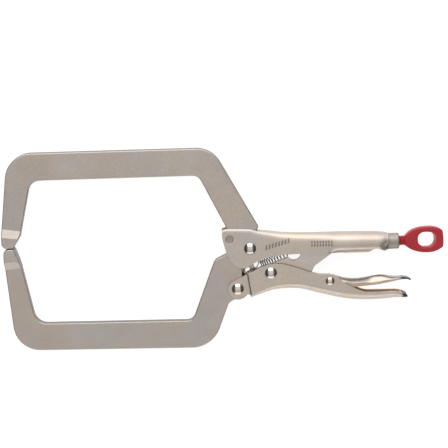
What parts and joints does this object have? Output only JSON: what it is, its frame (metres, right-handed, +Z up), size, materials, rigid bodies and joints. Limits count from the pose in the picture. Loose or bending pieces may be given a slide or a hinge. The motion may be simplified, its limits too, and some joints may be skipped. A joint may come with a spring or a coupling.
{
  "type": "locking c-clamp",
  "caption": "Lever-locking C-clamp with two deep forged jaws, stamped handles on a toggle link, a release lever and a screw turned by a red loop.",
  "frame": {"origin": "on the plane the clamp lies on, under the centre of its bounding box in plan", "axes": "+X along the adjusting screw from the jaw tips to the torque loop; +Y from the moving jaw to the fixed jaw; +Z up through the clamp's thickness, away from the plane it lies on"},
  "size_m": [0.4558, 0.2126, 0.0254],
  "materials": {
    "forged_steel": "satin grey plating with a fine grain over a drop forging",
    "stamped_steel": "satin plating over bent sheet",
    "link_steel": "satin plating over a blanked plate",
    "lever_steel": "smooth bright plating",
    "rivet_steel": "polished domed heads",
    "plug_steel": "satin",
    "spring_wire": "drawn wire, dark grey",
    "screw_steel": "turned, satin",
    "red_coating": "thick satin red coating"
  },
  "bodies": {
    "fixed_frame": {"fixed_jaw": "forged_steel", "upper_handle": "stamped_steel", "plug_weld_front": "plug_steel", "plug_weld_back": "plug_steel", "screw_nut": "screw_steel", "jaw_pivot_rivet": "rivet_steel", "spring_anchor": "link_steel", "return_spring": "spring_wire"},
    "jaw": {"moving_jaw": "forged_steel", "handle_pivot_rivet": "rivet_steel"},
    "handle": {"lower_handle": "stamped_steel", "link_rivet": "rivet_steel", "link_spacer_front": "link_steel", "link_spacer_back": "link_steel", "lever_rivet": "rivet_steel"},
    "link": {"toggle_link": "link_steel"},
    "lever": {"release_lever": "lever_steel"},
    "screw": {"adjusting_screw": "screw_steel"},
    "loop": {"torque_loop": "red_coating"}
  },
  "joints": [
    {"name": "handle_pivot", "type": "hinge", "parent": "jaw", "child": "handle", "pos_m": [0.0133, -0.04482, 0.0127], "axis": [0, 0, 1], "range_deg": [-62, 0]},
    {"name": "jaw_pivot", "type": "hinge", "parent": "fixed_frame", "child": "jaw", "pos_m": [0.0278, -0.00293, 0.0127], "axis": [0, 0, 1], "range_deg": [0, 20.5], "deforming": ["return_spring"]},
    {"name": "link_pivot", "type": "hinge", "parent": "handle", "child": "link", "pos_m": [0.0482, -0.02923, 0.0127], "axis": [0, 0, 1], "range_deg": [0, 69.5]},
    {"name": "lever_pivot", "type": "hinge", "parent": "handle", "child": "lever", "pos_m": [0.1089, -0.04052, 0.0127], "axis": [0, 0, 1], "range_deg": [-7.5, 0]},
    {"name": "loop_turn", "type": "hinge", "parent": "screw", "child": "loop", "pos_m": [0.1858, -0.00293, 0.0127], "axis": [1, 0, 0], "range_deg": [0, 7200]},
    {"name": "screw_travel", "type": "slide", "parent": "fixed_frame", "child": "screw", "axis": [1, 0, 0], "range_m": [0, 0.035]}
  ],
  "couplings": [
    {"joint": "jaw_pivot", "follows": "handle_pivot", "ratio": -0.33},
    {"joint": "link_pivot", "follows": "handle_pivot", "ratio": -1.12},
    {"joint": "loop_turn", "follows": "screw_travel", "rad_per_m": 3590.4}
  ]
}
